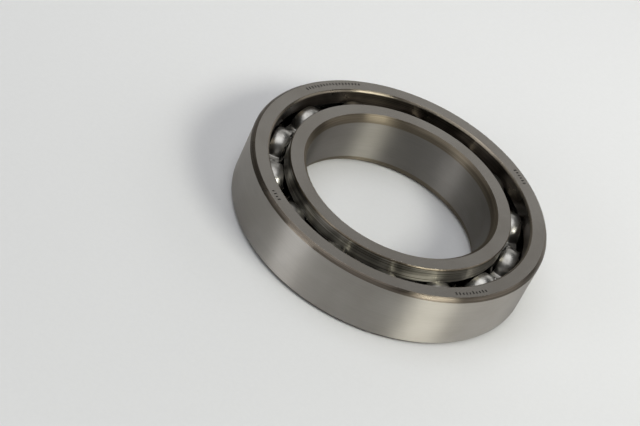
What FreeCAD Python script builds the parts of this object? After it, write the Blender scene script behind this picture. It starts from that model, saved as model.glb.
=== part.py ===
"""Single-row deep-groove ball bearing, 50 x 80 x 16 mm, open on both sides, with a riveted steel cage.

The bearing's axis is +Z and its centre is the origin. Ball 1 is on +X, and the others follow anticlockwise.
"""

import FreeCAD
import Part
import math
import os

import Sketcher

DRIVING_DIMENSIONS = [
    # alias, millimetres (or a plain count or ratio), what it is
    ("bore_diameter", 50.0, "hole through the inner ring"),
    ("outside_diameter", 80.0, "outside of the outer ring"),
    ("ring_width", 16.0, "both rings, face to face"),
    ("outside_corner", 1.0, "outer ring, outside corners, along the face and along the outside"),
    ("bore_corner_depth", 1.25, "inner ring, bore corners, along the face"),
    ("bore_corner_length", 2.1, "inner ring, bore corners, along the bore"),
    ("corner_radius", 2.2, "crown of the outside and bore corners"),
    ("outer_shoulder_diameter", 70.3, "inside of the outer ring beside its raceway"),
    ("outer_shoulder_corner", 0.55, "outer ring, inside corners"),
    ("inner_shoulder_diameter", 59.8, "outside of the inner ring beside its raceway"),
    ("inner_shoulder_corner", 0.25, "inner ring, outside corners"),
    ("shoulder_corner_radius", 1.2, "crown of the shoulder corners"),
    ("pitch_diameter", 65.0, "circle through the ball centres"),
    ("ball_diameter", 8.731, "11/32 inch balls"),
    ("ball_count", 14, "balls, evenly spaced"),
    ("raceway_gap", 0.04, "running gap between a ball and each raceway"),
    ("groove_ratio", 0.52, "raceway groove radius over ball diameter"),
    ("cage_inner_diameter", 61.4, "inside of the cage ribbon"),
    ("cage_outer_diameter", 68.8, "outside of the cage ribbon"),
    ("cage_sheet", 0.7, "thickness of the cage's pressed sheet"),
    ("cage_fold_radius", 0.3, "outside of the fold where a pocket rises from the flat"),
    ("pocket_gap", 0.135, "gap between a ball and its pocket"),
    ("rivet_diameter", 1.2, "shank of a cage rivet, and its hole"),
    ("rivet_head_diameter", 2.1, "domed heads at both ends of a rivet"),
    ("rivet_head_height", 0.5, "rise of a rivet head from the sheet"),
]

doc = FreeCAD.newDocument("DeepGrooveBallBearing")
sheet = doc.addObject("Spreadsheet::Sheet", "Dimensions")
for row, (alias, value, meaning) in enumerate(DRIVING_DIMENSIONS, start=1):
    sheet.set(f"A{row}", meaning)
    sheet.set(f"B{row}", str(value))
    sheet.setAlias(f"B{row}", alias)
doc.recompute()
BALL_COUNT = int(sheet.get("ball_count"))

# Lengths that several outlines share, as expressions of the sheet's cells.
HALF_WIDTH = "Dimensions.ring_width / 2"
PITCH = "Dimensions.pitch_diameter / 2"
BALL = "Dimensions.ball_diameter / 2"
GROOVE = "(Dimensions.groove_ratio * Dimensions.ball_diameter)"
CROWN = "Dimensions.corner_radius"
SHOULDER_CROWN = "Dimensions.shoulder_corner_radius"
SHEET = "Dimensions.cage_sheet"
POCKET_INSIDE = f"({BALL} + Dimensions.pocket_gap)"
POCKET_OUTSIDE = f"({POCKET_INSIDE} + {SHEET})"
FOLD_HEIGHT = f"({SHEET} + Dimensions.cage_fold_radius)"
FOLD_REACH = f"({POCKET_OUTSIDE} + Dimensions.cage_fold_radius)"
POCKET_FOOT = f"sqrt(({FOLD_REACH})^2 - ({FOLD_HEIGHT})^2)"


def evaluate(expression):
    """The plain number that an expression of the sheet gives."""
    return float(sheet.evalExpression(expression))


def plane_of(body, role):
    """One of the body's own origin planes or axes."""
    return next(feature for feature in body.Origin.OriginFeatures if feature.Role == role)


def pin_point(sketch, edge, end, name, expressions):
    """Fix one point of a sketch at the place its two expressions give."""
    for kind, axis, suffix, expression in zip(
        ("DistanceX", "DistanceY"), (-2, -1), ("across", "up"), expressions
    ):
        value = evaluate(expression)
        if abs(value) < 1e-9:
            sketch.addConstraint(Sketcher.Constraint("PointOnObject", edge, end, axis))
            continue
        index = sketch.addConstraint(Sketcher.Constraint(kind, -1, 1, edge, end, value))
        sketch.renameConstraint(index, f"{name}_{suffix}")
        sketch.setExpression(f"Constraints.{name}_{suffix}", expression)


def arc_between(start, finish, radius, anticlockwise):
    """The shorter arc of a radius from start to finish, turning left if it is anticlockwise."""
    across = finish - start
    to_left = FreeCAD.Vector(-across.y, across.x, 0).normalize()
    rise = (radius**2 - (across.Length / 2) ** 2) ** 0.5
    centre = (start + finish) / 2 + to_left * (rise if anticlockwise else -rise)
    first, last = (start, finish) if anticlockwise else (finish, start)
    angles = [math.atan2(point.y - centre.y, point.x - centre.x) for point in (first, last)]
    return Part.ArcOfCircle(Part.Circle(centre, FreeCAD.Vector(0, 0, 1), radius), *angles)


def outline(body, name, corners, arcs=None, from_axis=None):
    """A closed outline on the body's XZ plane, with every corner and arc bound to the sheet.

    corners are pairs of expressions: distance from the axis, then height. arcs gives, for the edge that
    leaves a corner, its radius and whether it turns anticlockwise. from_axis moves the whole outline out
    from the bearing's axis, so that the outline's own upright axis stands there.
    """
    arcs = arcs or {}
    sketch = body.newObject("Sketcher::SketchObject", name)
    sketch.AttachmentSupport = [(plane_of(body, "XZ_Plane"), "")]
    sketch.MapMode = "FlatFace"
    if from_axis:
        sketch.setExpression("AttachmentOffset.Base.x", from_axis)
    points = [FreeCAD.Vector(evaluate(across), evaluate(up), 0) for across, up in corners]
    ends = []
    for edge, start in enumerate(points):
        finish = points[(edge + 1) % len(points)]
        radius, anticlockwise = arcs.get(edge, (None, True))
        if radius:
            sketch.addGeometry(arc_between(start, finish, evaluate(radius), anticlockwise))
        else:
            sketch.addGeometry(Part.LineSegment(start, finish))
        ends.append((1, 2) if anticlockwise else (2, 1))
    for edge, (start_end, finish_end) in enumerate(ends):
        following = (edge + 1) % len(ends)
        next_start = ends[following][0]
        sketch.addConstraint(Sketcher.Constraint("Coincident", edge, finish_end, following, next_start))
        pin_point(sketch, edge, start_end, f"corner_{edge + 1}", corners[edge])
    for edge, (radius, _) in arcs.items():
        index = sketch.addConstraint(Sketcher.Constraint("Radius", edge, evaluate(radius)))
        sketch.renameConstraint(index, f"arc_{edge + 1}")
        sketch.setExpression(f"Constraints.arc_{edge + 1}", radius)
    return sketch


def turned(body, kind, name, sketch):
    """A Revolution or a Groove of a whole turn about the sketch's upright axis."""
    feature = body.newObject(f"PartDesign::{kind}", name)
    feature.Profile = sketch
    feature.ReferenceAxis = (sketch, ["V_Axis"])
    feature.Angle = 360
    body.Tip = feature
    return feature


def repeated(body, name, features):
    """The features once for each ball, about the bearing's axis."""
    pattern = body.newObject("PartDesign::PolarPattern", name)
    pattern.Originals = features
    pattern.Axis = (plane_of(body, "Z_Axis"), [""])
    pattern.Angle = 360
    pattern.setExpression("Occurrences", "Dimensions.ball_count")
    body.Tip = pattern
    return pattern


def raceway_edge(centre, shoulder):
    """Half the width of a raceway groove where it meets its shoulder."""
    return f"sqrt({GROOVE}^2 - ({centre} - {shoulder})^2)"


def make_outer_ring():
    """The outer ring, with its raceway inside. Its corners are slightly crowned."""
    body = doc.addObject("PartDesign::Body", "outer_ring")
    outside = "Dimensions.outside_diameter / 2"
    corner = "Dimensions.outside_corner"
    shoulder = "Dimensions.outer_shoulder_diameter / 2"
    relief = "Dimensions.outer_shoulder_corner"
    groove_centre = f"({PITCH} + {BALL} + Dimensions.raceway_gap - {GROOVE})"
    groove_edge = raceway_edge(groove_centre, shoulder)
    corners = [
        (f"{outside} - {corner}", f"-{HALF_WIDTH}"),
        (outside, f"{corner} - {HALF_WIDTH}"),
        (outside, f"{HALF_WIDTH} - {corner}"),
        (f"{outside} - {corner}", HALF_WIDTH),
        (f"{shoulder} + {relief}", HALF_WIDTH),
        (shoulder, f"{HALF_WIDTH} - {relief}"),
        (shoulder, groove_edge),
        (shoulder, f"-{groove_edge}"),
        (shoulder, f"{relief} - {HALF_WIDTH}"),
        (f"{shoulder} + {relief}", f"-{HALF_WIDTH}"),
    ]
    section = outline(body, "OuterSection", corners, {
        0: (CROWN, True), 2: (CROWN, True),
        4: (SHOULDER_CROWN, True), 8: (SHOULDER_CROWN, True),
        6: (GROOVE, False),
    })
    turned(body, "Revolution", "OuterTurned", section)
    return body


def make_inner_ring():
    """The inner ring, with its raceway outside. Its bore corners are longer along the bore than across."""
    body = doc.addObject("PartDesign::Body", "inner_ring")
    bore = "Dimensions.bore_diameter / 2"
    depth = "Dimensions.bore_corner_depth"
    length = "Dimensions.bore_corner_length"
    shoulder = "Dimensions.inner_shoulder_diameter / 2"
    relief = "Dimensions.inner_shoulder_corner"
    groove_centre = f"({PITCH} - {BALL} - Dimensions.raceway_gap + {GROOVE})"
    groove_edge = raceway_edge(groove_centre, shoulder)
    corners = [
        (f"{shoulder} - {relief}", f"-{HALF_WIDTH}"),
        (shoulder, f"{relief} - {HALF_WIDTH}"),
        (shoulder, f"-{groove_edge}"),
        (shoulder, groove_edge),
        (shoulder, f"{HALF_WIDTH} - {relief}"),
        (f"{shoulder} - {relief}", HALF_WIDTH),
        (f"{bore} + {depth}", HALF_WIDTH),
        (bore, f"{HALF_WIDTH} - {length}"),
        (bore, f"{length} - {HALF_WIDTH}"),
        (f"{bore} + {depth}", f"-{HALF_WIDTH}"),
    ]
    section = outline(body, "InnerSection", corners, {
        0: (SHOULDER_CROWN, True), 4: (SHOULDER_CROWN, True),
        6: (CROWN, True), 8: (CROWN, True),
        2: (GROOVE, False),
    })
    turned(body, "Revolution", "InnerTurned", section)
    return body


def make_ball(number):
    """One ball, at its own place on the pitch circle."""
    ball = doc.addObject("Part::Sphere", f"ball_{number:02d}")
    ball.setExpression("Radius", BALL)
    angle = f"({number - 1} * 360 deg / Dimensions.ball_count)"
    ball.setExpression("Placement.Base.x", f"{PITCH} * cos({angle})")
    ball.setExpression("Placement.Base.y", f"{PITCH} * sin({angle})")
    return ball


def make_cage_half(name, turned_over):
    """One pressed half of the cage: a flat ribbon, domed over each ball and drilled between the domes."""
    body = doc.addObject("PartDesign::Body", name)
    inside = "Dimensions.cage_inner_diameter / 2"
    outside = "Dimensions.cage_outer_diameter / 2"
    ribbon = outline(body, f"{name}_ribbon", [
        (inside, "0"), (outside, "0"), (outside, SHEET), (inside, SHEET),
    ])
    turned(body, "Revolution", f"{name}_flat", ribbon)

    def fold_end(radius):
        """Where the fold's arc meets the pocket's sphere of this radius."""
        return (f"{POCKET_FOOT} * {radius} / {FOLD_REACH}", f"{FOLD_HEIGHT} * {radius} / {FOLD_REACH}")

    dome = outline(
        body, f"{name}_dome",
        [("0", "0"), (POCKET_FOOT, "0"), (POCKET_FOOT, SHEET),
         fold_end(POCKET_OUTSIDE), ("0", POCKET_OUTSIDE)],
        {2: ("Dimensions.cage_fold_radius", False), 3: (POCKET_OUTSIDE, True)},
        from_axis=PITCH,
    )
    first_dome = turned(body, "Revolution", f"{name}_first_dome", dome)
    repeated(body, f"{name}_domes", [first_dome])

    # The ribbon's two edges are sheared straight, so whatever a dome spreads past them is cut away.
    beyond = f"({PITCH} + 2 * {BALL})"
    within = f"({PITCH} - 2 * {BALL})"
    above = f"2 * {BALL}"
    below = f"-{BALL}"
    for edge_name, near, far in (("outer_edge", outside, beyond), ("inner_edge", within, inside)):
        trim = outline(body, f"{name}_{edge_name}", [
            (near, below), (far, below), (far, above), (near, above),
        ])
        turned(body, "Groove", f"{name}_{edge_name}_cut", trim)

    hollow = outline(
        body, f"{name}_hollow",
        [("0", below), (POCKET_FOOT, below), (POCKET_FOOT, "0"),
         fold_end(POCKET_INSIDE), ("0", POCKET_INSIDE)],
        {2: (FOLD_HEIGHT, False), 3: (POCKET_INSIDE, True)},
        from_axis=PITCH,
    )
    first_hollow = turned(body, "Groove", f"{name}_first_hollow", hollow)
    repeated(body, f"{name}_hollows", [first_hollow])

    drilled = body.newObject("Sketcher::SketchObject", f"{name}_rivet_circle")
    drilled.AttachmentSupport = [(plane_of(body, "XY_Plane"), "")]
    drilled.MapMode = "FlatFace"
    half_step = "(180 deg / Dimensions.ball_count)"
    place = (f"{PITCH} * cos({half_step})", f"{PITCH} * sin({half_step})")
    centre = FreeCAD.Vector(evaluate(place[0]), evaluate(place[1]), 0)
    hole_radius = "Dimensions.rivet_diameter / 2"
    drilled.addGeometry(Part.Circle(centre, FreeCAD.Vector(0, 0, 1), evaluate(hole_radius)))
    pin_point(drilled, 0, 3, "hole", place)
    index = drilled.addConstraint(Sketcher.Constraint("Radius", 0, evaluate(hole_radius)))
    drilled.renameConstraint(index, "hole_radius")
    drilled.setExpression("Constraints.hole_radius", hole_radius)
    hole = body.newObject("PartDesign::Pocket", f"{name}_first_hole")
    hole.Profile = drilled
    hole.Reversed = True
    hole.Type = "ThroughAll"
    body.Tip = hole
    repeated(body, f"{name}_holes", [hole])
    if turned_over:
        turn = FreeCAD.Rotation(FreeCAD.Vector(1, 0, 0), 180)
        body.Placement = FreeCAD.Placement(FreeCAD.Vector(0, 0, 0), turn)
    return body


def make_rivets():
    """The rivets that hold the cage's halves together, one between each two balls, as separate solids."""
    body = doc.addObject("PartDesign::Body", "cage_rivets")
    body.AllowCompound = True
    shank = "Dimensions.rivet_diameter / 2"
    head = "Dimensions.rivet_head_diameter / 2"
    rise = "Dimensions.rivet_head_height"
    dome = f"(({head})^2 + {rise}^2) / (2 * {rise})"
    top = f"{SHEET} + {rise}"
    section = outline(
        body, "RivetSection",
        [("0", f"-({top})"), (head, f"-{SHEET}"), (shank, f"-{SHEET}"),
         (shank, SHEET), (head, SHEET), ("0", top)],
        {0: (dome, True), 4: (dome, True)},
        from_axis=PITCH,
    )
    first = turned(body, "Revolution", "FirstRivet", section)
    repeated(body, "Rivets", [first])
    body.setExpression("Placement.Rotation.Angle", "180 deg / Dimensions.ball_count")
    return body


pieces = [make_outer_ring(), make_inner_ring()]
pieces += [make_ball(number) for number in range(1, BALL_COUNT + 1)]
pieces += [make_cage_half("cage_front_half", False), make_cage_half("cage_rear_half", True), make_rivets()]

doc.recompute()
failed = [item.Name for item in doc.Objects if "Invalid" in item.State or "Error" in item.State]
if failed:
    raise SystemExit(f"these objects did not build: {failed}")
for piece in pieces:
    piece.Label = piece.Name
    if piece.Shape.isNull() or not piece.Shape.isValid():
        raise SystemExit(f"{piece.Label} has no valid shape")

os.makedirs("parts", exist_ok=True)
for piece in pieces:
    piece.Shape.exportStep(os.path.join("parts", f"{piece.Label}.step"))
    solids = len(piece.Shape.Solids)
    print(f"{piece.Label}: {solids} solid(s), {piece.Shape.Volume:.1f} mm3")
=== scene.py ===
"""The looks of an open deep-groove ball bearing.

Ground, turned, pressed and polished steel, on a pale floor in soft studio light.
"""

import math
from collections import namedtuple

import bpy
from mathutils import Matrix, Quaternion, Vector


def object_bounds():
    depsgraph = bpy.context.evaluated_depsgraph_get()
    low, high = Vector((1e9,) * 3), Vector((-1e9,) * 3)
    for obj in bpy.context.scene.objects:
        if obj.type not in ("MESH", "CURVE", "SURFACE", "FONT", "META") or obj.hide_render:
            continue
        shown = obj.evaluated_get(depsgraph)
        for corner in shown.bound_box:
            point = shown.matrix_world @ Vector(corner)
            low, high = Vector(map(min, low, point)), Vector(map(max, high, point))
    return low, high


MM = 0.001

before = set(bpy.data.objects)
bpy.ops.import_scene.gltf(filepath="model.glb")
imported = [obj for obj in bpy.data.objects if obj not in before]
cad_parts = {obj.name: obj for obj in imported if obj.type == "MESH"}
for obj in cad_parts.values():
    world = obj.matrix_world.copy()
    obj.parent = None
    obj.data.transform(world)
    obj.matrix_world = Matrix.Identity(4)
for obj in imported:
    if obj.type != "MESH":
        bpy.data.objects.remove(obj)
cad_low, cad_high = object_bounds()
OUTER_RADIUS = cad_high.x
HALF_WIDTH = cad_high.z
FLOOR_HEIGHT = cad_low.z

# The camera, by the direction it is seen from, its roll about the line of sight and the point it looks at.
VIEW_AZIMUTH = 2.93
VIEW_ELEVATION = 37.75
VIEW_ROLL = 26.2
VIEW_DISTANCE = 0.5036
VIEW_LENS = 117.5
VIEW_TARGET = Vector((-0.349 * OUTER_RADIUS, -0.655 * OUTER_RADIUS, HALF_WIDTH))

# The softboxes: azimuth, elevation, distance, width and height, power in watts, and colour.
SOFTBOXES = {
    "overhead": (-75, 77, 2.7, (3.0, 2.55), 35.0, (1.0, 1.0, 1.0)),
    "key": (65, 43, 0.8, (0.34, 0.25), 3.4, (0.99, 0.98, 0.88)),
    "fill": (-44, 20, 0.9, (0.32, 0.36), 1.3, (0.97, 0.98, 1.0)),
    "rim": (105, 30, 1.0, (0.8, 0.4), 1.5, (1.0, 0.98, 0.96)),
}

# Colours, as linear red, green and blue.
GROUND = (0.455, 0.435, 0.405)
GROUND_WORN = (0.415, 0.392, 0.360)
RACEWAY = (0.55, 0.53, 0.50)
LAND_EDGE = ((0.15, 0.130, 0.104), (0.34, 0.302, 0.243))
ETCHED = (0.035, 0.032, 0.03)
BALL = (0.60, 0.60, 0.60)
BALL_HAZY = (0.54, 0.54, 0.54)
CAGE = (0.50, 0.495, 0.475)
CAGE_DULL = (0.32, 0.31, 0.295)
RIVET = (0.50, 0.49, 0.47)
RIVET_DENTED = (0.35, 0.343, 0.329)
FLOOR = (0.705, 0.717, 0.737)
# Painted light: the floor's colour far behind the bearing, made paler to stand in for more light falling
# there.
FLOOR_PAINTED_LIGHT_BEHIND = (0.888, 0.901, 0.925)
BLACK = (0.0, 0.0, 0.0)
ROOM = (1.0, 0.985, 0.955)

# What is only turned, by its dark and its light colour and its roughness.
Turned = namedtuple("Turned", "dark light roughness")
OUTSIDE_CORNER = Turned((0.10, 0.086, 0.070), (0.20, 0.172, 0.142), 0.30)
# The outer land is dark turned steel, darkened further as painted shade of the hollow between the rings.
OUTER_LAND_WITH_PAINTED_SHADE = Turned((0.040, 0.034, 0.028), (0.095, 0.078, 0.062), 0.30)
INNER_LAND = Turned((0.10, 0.093, 0.078), (0.52, 0.495, 0.43), 0.34)
BORE_CORNER = Turned((0.13, 0.110, 0.082), (0.21, 0.180, 0.137), 0.44)

# The ground cylinders: half their width up to the corners, and how pale, deeply marked and rough they are.
# The bore is made less pale as painted shade, standing in for the shade inside it.
Cylinder = namedtuple("Cylinder", "half tone relief roughness")
OUTSIDE = Cylinder(half=7.0 * MM, tone=1.0, relief=0.8, roughness=0.46)
# Painted shade: the bore's lower tone darkens its ground steel to stand in for the shade inside the bore.
BORE = Cylinder(half=5.9 * MM, tone=0.62, relief=2.2, roughness=0.60)

# The rings' other surfaces. Halves are measured from the middle plane, and reliefs are shares of MARK_DEPTH.
FACE_RELIEF = 0.08
FACE_ROUGHNESS = 0.25
RACEWAY_HALF = 3.6 * MM
RACEWAY_RELIEF = 0.15
RACEWAY_ROUGHNESS = 0.16
LAND_HALF = 7.5 * MM

# The face grinder's arcs, by centre, width and length, and the lines round the axis, by length and width.
FACE_ARCS = (((0.11, 0.035), 0.10 * MM, 6 * MM), ((-0.09, 0.07), 0.13 * MM, 7 * MM))
GROUND_LINES = (9 * MM, 0.11 * MM)
TURNED_LINES = (40 * MM, 0.20 * MM)

# How deep the marks in each material are.
MARK_DEPTH = 0.002 * MM
DENT_DEPTH = 0.008 * MM
FIBRE_DEPTH = 0.004 * MM

# Plain ticks etched on the outer ring's front face: each row's middle and half its length, and the pitch of
# the ticks, in degrees, then the radii between which they stand, and how much shorter some of them are.
ETCHED_ROWS = ((139.5, 13.5), (46.5, 4.5), (-43.5, 7.5), (-132.0, 3.0))
ETCHED_PITCH = 1.5
ETCHED_RADII = (37.1 * MM, 38.1 * MM)
ETCHED_UNEVEN = 0.35 * MM
ETCHED_STRENGTH = 0.8
ETCHED_ROUGHNESS = 0.6

# Half the floor's width, and the two places along Y, before and behind the bearing, between which painted
# light makes the floor paler towards the back.
FLOOR_REACH = 3.0
PAINTED_FLOOR_LIGHT_SPAN = (-0.12, 0.16)


def direction(azimuth, elevation):
    """The unit vector towards an azimuth, 0 at -Y and 90 at +X, and an elevation, both in degrees."""
    a, e = math.radians(azimuth), math.radians(elevation)
    return Vector((math.sin(a) * math.cos(e), -math.cos(a) * math.cos(e), math.sin(e)))


def face_middle(node):
    """The radius of the middle of a ring's side faces."""
    distances = [vertex.co.xy.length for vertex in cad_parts[node].data.vertices]
    return (min(distances) + max(distances)) / 2


class Finish:
    """A material's nodes, built by short calls that take and return sockets or plain values."""

    def __init__(self, name):
        self.material = bpy.data.materials.new(name)
        self.material.use_nodes = True
        self.tree = self.material.node_tree
        self.shader = self.tree.nodes["Principled BSDF"]
        self.place = self.node("ShaderNodeTexCoord").outputs["Object"]
        self.x, self.y, self.z = self.node("ShaderNodeSeparateXYZ", {"Vector": self.place}).outputs
        self.radius = self.length(self.x, self.y)
        self.side = self.math("ABSOLUTE", self.z)

    def node(self, kind, inputs=None, **settings):
        node = self.tree.nodes.new(kind)
        for setting, value in settings.items():
            setattr(node, setting, value)
        for socket, value in (inputs or {}).items():
            self.feed(node.inputs[socket], value)
        return node

    def feed(self, socket, value):
        if isinstance(value, bpy.types.NodeSocket):
            self.tree.links.new(value, socket)
        elif isinstance(value, tuple) and len(value) == 3 and socket.type == "RGBA":
            socket.default_value = (*value, 1)
        else:
            socket.default_value = value

    def math(self, operation, *values):
        return self.node("ShaderNodeMath", dict(enumerate(values)), operation=operation).outputs[0]

    def vector(self, operation, *values):
        return self.node("ShaderNodeVectorMath", dict(enumerate(values)), operation=operation).outputs[0]

    def length(self, x, y):
        """The distance of a point from an upright axis."""
        flat = self.node("ShaderNodeCombineXYZ", {"X": x, "Y": y}).outputs[0]
        return self.node("ShaderNodeVectorMath", {0: flat}, operation="LENGTH").outputs["Value"]

    def step(self, value, low, high, start=0.0, end=1.0):
        """start below low and end above high, with a smooth change between them."""
        node = self.node("ShaderNodeMapRange", {
            "Value": value, "From Min": low, "From Max": high, "To Min": start, "To Max": end,
        }, interpolation_type="SMOOTHSTEP")
        return node.outputs["Result"]

    def mix(self, factor, first, second, how="MIX"):
        """The first colour where the factor is 0, and where it is 1 the second, mixed in or multiplied."""
        inputs = {0: factor, 6: first, 7: second}
        return self.node("ShaderNodeMix", inputs, data_type="RGBA", blend_type=how).outputs[2]

    def blend(self, factor, first, second):
        """The first number where the factor is 0, and the second where it is 1."""
        return self.node("ShaderNodeMix", {0: factor, 2: first, 3: second}, data_type="FLOAT").outputs[0]

    def noise(self, scale, detail=2.0, roughness=0.5, vector=None, w=None):
        node = self.node("ShaderNodeTexNoise", {
            "Vector": vector or self.place, "Scale": scale, "Detail": detail, "Roughness": roughness,
        }, noise_dimensions="3D" if w is None else "4D")
        if w is not None:
            self.feed(node.inputs["W"], w)
        return node.outputs["Fac"]

    def around(self, along, across, detail):
        """Streaks that run round the bearing's axis: along and across are how long and wide they are."""
        ratio = self.math("DIVIDE", 1.0, self.math("MAXIMUM", self.radius, MM))
        reach = self.math("MULTIPLY", ratio, OUTER_RADIUS / along)
        vector = self.node("ShaderNodeCombineXYZ", {
            "X": self.math("MULTIPLY", self.x, reach),
            "Y": self.math("MULTIPLY", self.y, reach),
            "Z": self.math("DIVIDE", self.radius, across),
        }).outputs[0]
        return self.noise(1.0, detail, vector=vector, w=self.math("DIVIDE", self.z, across))

    def arcs(self, centre, width, length):
        """Grinding marks that run round an upright axis away from the bearing's own."""
        moved = self.vector("ADD", self.place, (-centre[0], -centre[1], 0))
        x, y, _ = self.node("ShaderNodeSeparateXYZ", {"Vector": moved}).outputs
        vector = self.node("ShaderNodeCombineXYZ", {
            "X": self.math("DIVIDE", self.length(x, y), width),
            "Y": self.math("MULTIPLY", self.math("ARCTAN2", y, x), math.hypot(*centre) / length),
            "Z": self.math("DIVIDE", self.z, width),
        }).outputs[0]
        return self.noise(1.0, vector=vector)

    def turned_normal(self):
        """The surface's normal without its part round the axis: smooth across the seam of a turned shape."""
        here = self.node("ShaderNodeNewGeometry")
        flat = self.vector("MULTIPLY", here.outputs["Position"], (1.0, 1.0, 0.0))
        tangent = self.vector("NORMALIZE", self.vector("CROSS_PRODUCT", (0.0, 0.0, 1.0), flat))
        along = self.vector("PROJECT", here.outputs["Normal"], tangent)
        return self.vector("NORMALIZE", self.vector("SUBTRACT", here.outputs["Normal"], along))

    def bump(self, height, depth, normal=None):
        """The surface raised by a height, mostly between 0 and 1, times a depth in metres."""
        inputs = {"Height": height, "Distance": depth, "Strength": 1.0}
        if normal is not None:
            inputs["Normal"] = normal
        return self.node("ShaderNodeBump", inputs).outputs[0]

    def finish(self, **sockets):
        for name, value in sockets.items():
            self.feed(self.shader.inputs[name.replace("_", " ")], value)
        return self.material


def grinding_marks(steel, face):
    """Two sets of crossing arcs from the face grinder, and fine lines round the cylinders."""
    arcs = steel.math("ADD", *[steel.arcs(*settings) for settings in FACE_ARCS])
    fine = steel.around(*GROUND_LINES, 3.0)
    return steel.blend(face, fine, steel.math("MULTIPLY", arcs, 0.5))


def etched_ticks(steel):
    """How strongly a point is etched: rows of ticks on the front face, uneven towards the axis."""
    angle = steel.math("MULTIPLY", steel.math("ARCTAN2", steel.y, steel.x), 180 / math.pi)
    rows = 0.0
    for middle, half in ETCHED_ROWS:
        rows = steel.math("MAXIMUM", rows, steel.math("COMPARE", angle, middle, half))
    column = steel.math("DIVIDE", angle, ETCHED_PITCH)
    # Whole columns are added, so that the fraction is taken of a positive number.
    stroke = steel.math("COMPARE", steel.math("FRACT", steel.math("ADD", column, 400.0)), 0.5, 0.22)
    uneven = steel.node("ShaderNodeTexWhiteNoise", {"W": steel.math("FLOOR", column)},
                        noise_dimensions="1D").outputs["Value"]
    inner = steel.math("ADD", ETCHED_RADII[0], steel.math("MULTIPLY", uneven, ETCHED_UNEVEN))
    band = steel.math("MULTIPLY", steel.math("GREATER_THAN", steel.radius, inner),
                      steel.math("LESS_THAN", steel.radius, ETCHED_RADII[1]))
    front = steel.math("GREATER_THAN", steel.z, HALF_WIDTH - 0.01 * MM)
    tick = steel.math("MULTIPLY", steel.math("MULTIPLY", rows, stroke), steel.math("MULTIPLY", band, front))
    return steel.math("MULTIPLY", tick, ETCHED_STRENGTH)


def draw_out_highlights(steel, face):
    """Highlights stretched across the marks, with one tangent for round surfaces and one for the faces."""
    steel.shader.inputs["Anisotropic"].default_value = 1.0
    steel.shader.inputs["Anisotropic Rotation"].default_value = 0.25
    on_round = steel.node("ShaderNodeTangent", direction_type="RADIAL", axis="Z").outputs[0]
    on_face = steel.node("ShaderNodeCombineXYZ", {"X": 0.0, "Y": 1.0, "Z": 0.0}).outputs[0]
    tangent = steel.node("ShaderNodeMix", {0: face, 4: on_round, 5: on_face}, data_type="VECTOR").outputs[1]
    steel.feed(steel.shader.inputs["Tangent"], tangent)


def ring_finish(name, cylinder, inside, outside, edge):
    """Steel of a ring: ground on its faces and its cylinder, lapped in its raceway, turned elsewhere.

    inside and outside are how it is turned nearer to the axis and further from it, and edge is the dark and
    the light colour of the narrow corner beside the raceway.
    """
    steel = Finish(name)
    face = steel.math("GREATER_THAN", steel.side, HALF_WIDTH - 0.004 * MM)
    beyond = steel.math("GREATER_THAN", steel.radius, face_middle(name))
    within = steel.math("SUBTRACT", 1.0, beyond)
    by_cylinder, by_raceway = (beyond, within) if cylinder is OUTSIDE else (within, beyond)
    ground_round = steel.math("MULTIPLY", by_cylinder, steel.math("LESS_THAN", steel.side, cylinder.half))
    lapped = steel.math("MULTIPLY", by_raceway, steel.math("LESS_THAN", steel.side, RACEWAY_HALF))
    ground = steel.math("MAXIMUM", face, ground_round)

    lines = grinding_marks(steel, face)
    turned = steel.around(*TURNED_LINES, 2.0)
    depth = steel.blend(ground, 1.0, steel.blend(face, cylinder.relief, FACE_RELIEF))
    depth = steel.blend(lapped, depth, RACEWAY_RELIEF)
    relief = steel.math("MULTIPLY", steel.blend(ground, turned, lines), depth)

    # Stains and wear, in patches of a few millimetres.
    cloud = steel.noise(90.0, 3.0)
    film = steel.step(steel.noise(200.0), 0.35, 0.70)
    # The grinding lines' tone is real; on the bore the cylinder's tone adds painted shade, darkening the
    # steel as if in the bore's shade.
    tone = steel.math("MULTIPLY", steel.step(lines, 0.30, 0.70, 0.95, 1.03),
                      steel.blend(ground_round, 1.0, cylinder.tone))
    tone = steel.node("ShaderNodeCombineColor", {"Red": tone, "Green": tone, "Blue": tone}).outputs[0]
    ground_colour = steel.mix(steel.step(cloud, 0.35, 0.7), GROUND, GROUND_WORN)
    ground_colour = steel.mix(1.0, ground_colour, tone, how="MULTIPLY")

    bright = steel.math("MULTIPLY", steel.step(turned, 0.30, 0.70), steel.step(cloud, 0.25, 0.6, 0.75, 1.0))
    turned_colour = steel.mix(beyond, steel.mix(bright, inside.dark, inside.light),
                              steel.mix(bright, outside.dark, outside.light))
    corner = steel.step(steel.side, LAND_HALF - 0.08 * MM, LAND_HALF + 0.02 * MM)
    turned_colour = steel.mix(steel.math("MULTIPLY", by_raceway, corner), turned_colour,
                              steel.mix(bright, *edge))
    colour = steel.mix(lapped, steel.mix(ground, turned_colour, ground_colour), RACEWAY)

    ground_roughness = steel.math("ADD", steel.blend(face, cylinder.roughness, FACE_ROUGHNESS),
                                  steel.math("MULTIPLY", film, 0.015))
    turned_roughness = steel.math("ADD", steel.blend(beyond, inside.roughness, outside.roughness),
                                  steel.step(cloud, 0.3, 0.7, -0.05, 0.05))
    roughness = steel.blend(ground, turned_roughness, ground_roughness)
    roughness = steel.blend(lapped, roughness, RACEWAY_ROUGHNESS)

    if name == "outer_ring":
        tick = etched_ticks(steel)
        colour = steel.mix(tick, colour, ETCHED)
        roughness = steel.blend(tick, roughness, ETCHED_ROUGHNESS)

    draw_out_highlights(steel, face)
    normal = steel.bump(relief, MARK_DEPTH, steel.turned_normal())
    return steel.finish(Base_Color=colour, Metallic=1.0, Roughness=roughness, Normal=normal)


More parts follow.
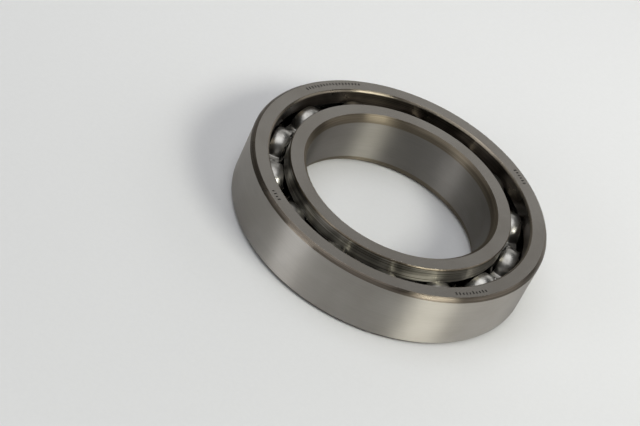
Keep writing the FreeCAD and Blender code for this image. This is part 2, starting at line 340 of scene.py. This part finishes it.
def cage_finish():
    """Pressed and tumbled sheet, duller in patches."""
    steel = Finish("cage")
    patches = steel.noise(420.0, 4.0, 0.6)
    grain = steel.noise(6500.0)
    colour = steel.mix(steel.step(patches, 0.38, 0.72), CAGE, CAGE_DULL)
    roughness = steel.step(patches, 0.3, 0.75, 0.27, 0.34)
    relief = steel.math("ADD", steel.math("MULTIPLY", grain, 0.6), steel.math("MULTIPLY", patches, 3.0))
    normal = steel.bump(relief, MARK_DEPTH)
    return steel.finish(Base_Color=colour, Metallic=1.0, Roughness=roughness, Normal=normal)


def ball_finish():
    """Lapped balls with the faintest haze."""
    steel = Finish("ball")
    haze = steel.noise(300.0, 3.0, 0.6)
    colour = steel.mix(steel.step(haze, 0.4, 0.8), BALL, BALL_HAZY)
    roughness = steel.step(haze, 0.35, 0.75, 0.045, 0.11)
    return steel.finish(Base_Color=colour, Metallic=1.0, Roughness=roughness)


def rivet_finish():
    """Rivets with hammered heads."""
    steel = Finish("rivet")
    dents = steel.noise(2600.0, 3.0, 0.55)
    colour = steel.mix(steel.step(dents, 0.35, 0.7), RIVET, RIVET_DENTED)
    roughness = steel.step(dents, 0.3, 0.7, 0.26, 0.40)
    normal = steel.bump(dents, DENT_DEPTH)
    return steel.finish(Base_Color=colour, Metallic=1.0, Roughness=roughness, Normal=normal)


def add_aimed(name, data, back, distance, target, roll=0.0):
    """A camera or a light at a distance from a target, looking at it."""
    thing = bpy.data.objects.new(name, data)
    bpy.context.collection.objects.link(thing)
    thing.location = target + back * distance
    thing.rotation_mode = "QUATERNION"
    level = (-back).to_track_quat("-Z", "Y")
    thing.rotation_quaternion = level @ Quaternion((0, 0, 1), math.radians(roll))
    return thing


def make_camera():
    data = bpy.data.cameras.new("camera")
    data.lens = VIEW_LENS
    data.sensor_width = 36
    data.clip_start = 0.01
    data.clip_end = 20
    back = direction(VIEW_AZIMUTH, VIEW_ELEVATION)
    bpy.context.scene.camera = add_aimed("camera", data, back, VIEW_DISTANCE, VIEW_TARGET, VIEW_ROLL)


def make_softbox(name, azimuth, elevation, distance, size, power, colour):
    """A rectangular area light that looks at the middle of the bearing."""
    data = bpy.data.lights.new(name, "AREA")
    data.shape = "RECTANGLE"
    data.size, data.size_y = size
    data.energy = power
    data.color = colour
    add_aimed(name, data, direction(azimuth, elevation), distance, Vector())


def make_room():
    """A dim room: two glows behind the bearing, and a wall that is paler in front and to the right."""
    world = bpy.data.worlds.new("room")
    world.use_nodes = True
    tree = world.node_tree
    seen = tree.nodes.new("ShaderNodeTexCoord").outputs["Generated"]

    def towards(middle, cosines, strengths):
        """A strength that changes smoothly between two cosines of the angle from a direction."""
        dot = tree.nodes.new("ShaderNodeVectorMath")
        dot.operation = "DOT_PRODUCT"
        dot.inputs[1].default_value = middle
        tree.links.new(seen, dot.inputs[0])
        node = tree.nodes.new("ShaderNodeMapRange")
        node.interpolation_type = "SMOOTHSTEP"
        for socket, limit in zip(("From Min", "From Max", "To Min", "To Max"), (*cosines, *strengths)):
            node.inputs[socket].default_value = limit
        tree.links.new(dot.outputs["Value"], node.inputs["Value"])
        return node.outputs["Result"]

    def join(operation, first, second):
        node = tree.nodes.new("ShaderNodeMath")
        node.operation = operation
        tree.links.new(first, node.inputs[0])
        tree.links.new(second, node.inputs[1])
        return node.outputs[0]

    low_glow = towards(direction(168, 7), cosines=(0.84, 0.985), strengths=(0.05, 0.90))
    high_glow = towards(direction(210, 40), cosines=(0.86, 0.985), strengths=(0.0, 0.46))
    low_down = towards(Vector((0, 0, 1)), cosines=(0.25, 0.85), strengths=(0.22, 0.0))
    front_right = towards(direction(50, 0), cosines=(-0.75, 0.35), strengths=(0.1, 1.0))
    glow = join("ADD", low_glow, high_glow)
    wall = join("MULTIPLY", low_down, front_right)
    background = tree.nodes["Background"]
    background.inputs["Color"].default_value = (*ROOM, 1)
    tree.links.new(join("ADD", glow, wall), background.inputs["Strength"])
    bpy.context.scene.world = world


def make_floor():
    """A sheet of pale paper, wide enough for every view."""
    low, high = -FLOOR_REACH, FLOOR_REACH
    corners = [(x, y, FLOOR_HEIGHT) for x, y in ((low, low), (high, low), (high, high), (low, high))]
    mesh = bpy.data.meshes.new("floor")
    mesh.from_pydata(corners, [], [(0, 1, 2, 3)])
    floor = bpy.data.objects.new("floor", mesh)
    bpy.context.collection.objects.link(floor)
    paper = Finish("floor")
    fibre = paper.noise(900.0, 3.0, 0.6)
    # Painted light: the paper's colour is made paler behind the bearing, standing in for more light falling
    # there.
    colour = paper.mix(paper.step(paper.y, *PAINTED_FLOOR_LIGHT_SPAN), FLOOR, FLOOR_PAINTED_LIGHT_BEHIND)
    colour = paper.mix(paper.step(fibre, 0.3, 0.7, 0.015, 0.0), colour, BLACK)
    roughness = paper.step(fibre, 0.3, 0.7, 0.55, 0.65)
    normal = paper.bump(fibre, FIBRE_DEPTH)
    mesh.materials.append(paper.finish(Base_Color=colour, Roughness=roughness, Normal=normal))


make_camera()
for name, settings in SOFTBOXES.items():
    make_softbox(name, *settings)
make_room()
make_floor()

pressed = cage_finish()
polished = ball_finish()
finishes = {
    # The outer ring's land colour holds painted shade of the hollow between the rings, on top of its dark
    # turned steel.
    "outer_ring": ring_finish("outer_ring", OUTSIDE, OUTER_LAND_WITH_PAINTED_SHADE, OUTSIDE_CORNER, edge=LAND_EDGE),
    "inner_ring": ring_finish("inner_ring", BORE, BORE_CORNER, INNER_LAND, edge=BORE_CORNER[:2]),
    "cage_front_half": pressed,
    "cage_rear_half": pressed,
    "cage_rivets": rivet_finish(),
}
for name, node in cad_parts.items():
    for slot in node.material_slots:
        slot.material = finishes.get(name, polished)

bpy.context.scene.view_settings.view_transform = "Standard"
